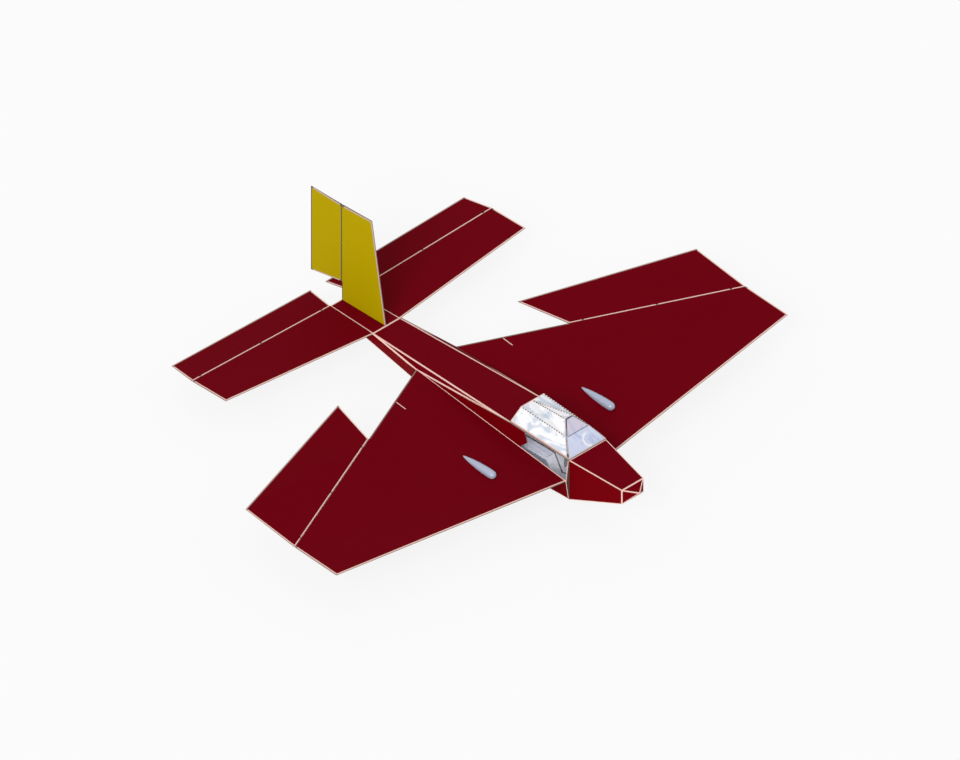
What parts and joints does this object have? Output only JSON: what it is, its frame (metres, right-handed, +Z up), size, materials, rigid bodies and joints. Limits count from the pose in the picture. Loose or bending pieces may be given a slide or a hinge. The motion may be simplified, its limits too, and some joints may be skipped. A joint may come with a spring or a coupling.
{
  "type": "microlight aircraft",
  "caption": "Single-seat low-wing microlight with flat panelled fuselage, faceted canopy, hinged control surfaces, faired main wheels and a swivelling tail wheel.",
  "frame": {"origin": "on the ground below the middle of the whole aircraft, standing on its wheels", "axes": "+X to the nose, +Y to the left wing tip, +Z up"},
  "size_m": [6.2828, 8.328, 2.0131],
  "materials": {
    "red_skin": "satin dark red skin",
    "yellow_skin": "satin yellow skin",
    "edge_bead": "pale cream edge strip",
    "pale_fairing": "glossy pale blue grey",
    "clear_glazing": "clear sheet with a pale blue tint",
    "canopy_frame": "thin grey-brown painted tube",
    "cabin_lining": "matt pale grey lavender",
    "seat_shell": "pale grey moulded sheet",
    "black_tube": "black painted tube",
    "seat_cloth": "pale grey woven pad",
    "black_metal": "satin black paint",
    "hinge_steel": "plain steel",
    "spring_steel": "grey painted steel",
    "wheel_alloy": "cast alloy",
    "tyre": "black rubber"
  },
  "bodies": {
    "airframe": {"aft_fuselage": "red_skin", "fuselage_longerons": "edge_bead", "cockpit_side_left": "red_skin", "cockpit_side_right": "red_skin", "side_windows": "clear_glazing", "cockpit_floor": "red_skin", "seat_bulkhead": "cabin_lining", "front_bulkhead": "cabin_lining", "nose_shell": "red_skin", "nose_cap": "red_skin", "nose_edges": "edge_bead", "wing_left": "red_skin", "wing_right": "red_skin", "wing_edges": "edge_bead", "aileron_hinges": "hinge_steel", "stabilizer_left": "red_skin", "stabilizer_right": "red_skin", "stabilizer_edges": "edge_bead", "elevator_hinges": "hinge_steel", "fin": "yellow_skin", "fin_edge": "edge_bead", "rudder_hinges": "hinge_steel", "gear_fairing_left": "pale_fairing", "gear_fairing_right": "pale_fairing", "main_axles": "hinge_steel", "tail_leg": "spring_steel", "cockpit_coaming": "edge_bead", "canopy_hinges": "hinge_steel", "windscreen_frame": "canopy_frame", "windscreen_glass": "clear_glazing", "seat": "seat_shell", "seat_pad": "seat_cloth", "cockpit_rails": "black_tube", "instrument_panel": "cabin_lining", "control_stick": "black_metal", "rudder_pedals": "black_metal"},
    "canopy": {"canopy_frame": "canopy_frame", "canopy_glass": "clear_glazing"},
    "aileron_left_body": {"aileron_left": "red_skin", "aileron_edge_left": "edge_bead"},
    "aileron_right_body": {"aileron_right": "red_skin", "aileron_edge_right": "edge_bead"},
    "elevator_left_body": {"elevator_left": "red_skin", "elevator_edge_left": "edge_bead"},
    "elevator_right_body": {"elevator_right": "red_skin", "elevator_edge_right": "edge_bead"},
    "rudder_body": {"rudder": "yellow_skin", "rudder_edge": "edge_bead"},
    "wheel_left": {"main_tyre_left": "tyre", "main_hub_left": "wheel_alloy"},
    "wheel_right": {"main_tyre_right": "tyre", "main_hub_right": "wheel_alloy"},
    "tail_swivel": {"tail_fork": "spring_steel"},
    "tail_wheel": {"tail_tyre": "tyre", "tail_hub": "wheel_alloy"}
  },
  "joints": [
    {"name": "canopy_hinge", "type": "hinge", "parent": "airframe", "child": "canopy", "pos_m": [1.07682, 0.357, 0.88366], "axis": [0.9966, -0.0037, 0.0825], "range_deg": [-100, 0]},
    {"name": "aileron_left_hinge", "type": "hinge", "parent": "airframe", "child": "aileron_left_body", "pos_m": [-0.02424, 1.85384, 0.62621], "axis": [0.3815, 0.9242, 0.0179], "range_deg": [-22, 22]},
    {"name": "aileron_right_hinge", "type": "hinge", "parent": "airframe", "child": "aileron_right_body", "pos_m": [0.92933, -4.164, 0.671], "axis": [-0.3815, 0.9242, -0.0179], "range_deg": [-22, 22]},
    {"name": "elevator_left_hinge", "type": "hinge", "parent": "airframe", "child": "elevator_left_body", "pos_m": [-2.3581, 0.224, 0.42495], "axis": [-0.0041, 0.9996, 0.028], "range_deg": [-20, 25]},
    {"name": "elevator_right_hinge", "type": "hinge", "parent": "airframe", "child": "elevator_right_body", "pos_m": [-2.36862, -2.765, 0.49618], "axis": [0.0041, 0.9996, -0.028], "range_deg": [-20, 25]},
    {"name": "rudder_hinge", "type": "hinge", "parent": "airframe", "child": "rudder_body", "pos_m": [-2.40317, 0, 0.71649], "axis": [-0.1461, 0, 0.9893], "range_deg": [-28, 28]},
    {"name": "wheel_left_spin", "type": "hinge", "parent": "airframe", "child": "wheel_left", "pos_m": [1.44423, 1.096, 0.168], "axis": [0, 1, 0], "continuous": true},
    {"name": "wheel_right_spin", "type": "hinge", "parent": "airframe", "child": "wheel_right", "pos_m": [1.44423, -1.096, 0.168], "axis": [0, 1, 0], "continuous": true},
    {"name": "tail_swivel_turn", "type": "hinge", "parent": "airframe", "child": "tail_swivel", "pos_m": [-2.10645, 0, 0.172], "axis": [0, 0, 1], "continuous": true},
    {"name": "tail_wheel_spin", "type": "hinge", "parent": "tail_swivel", "child": "tail_wheel", "pos_m": [-2.17645, 0, 0.072], "axis": [0, 1, 0], "continuous": true}
  ],
  "couplings": [
    {"joint": "aileron_right_hinge", "follows": "aileron_left_hinge", "ratio": -1},
    {"joint": "elevator_right_hinge", "follows": "elevator_left_hinge", "ratio": 1}
  ]
}
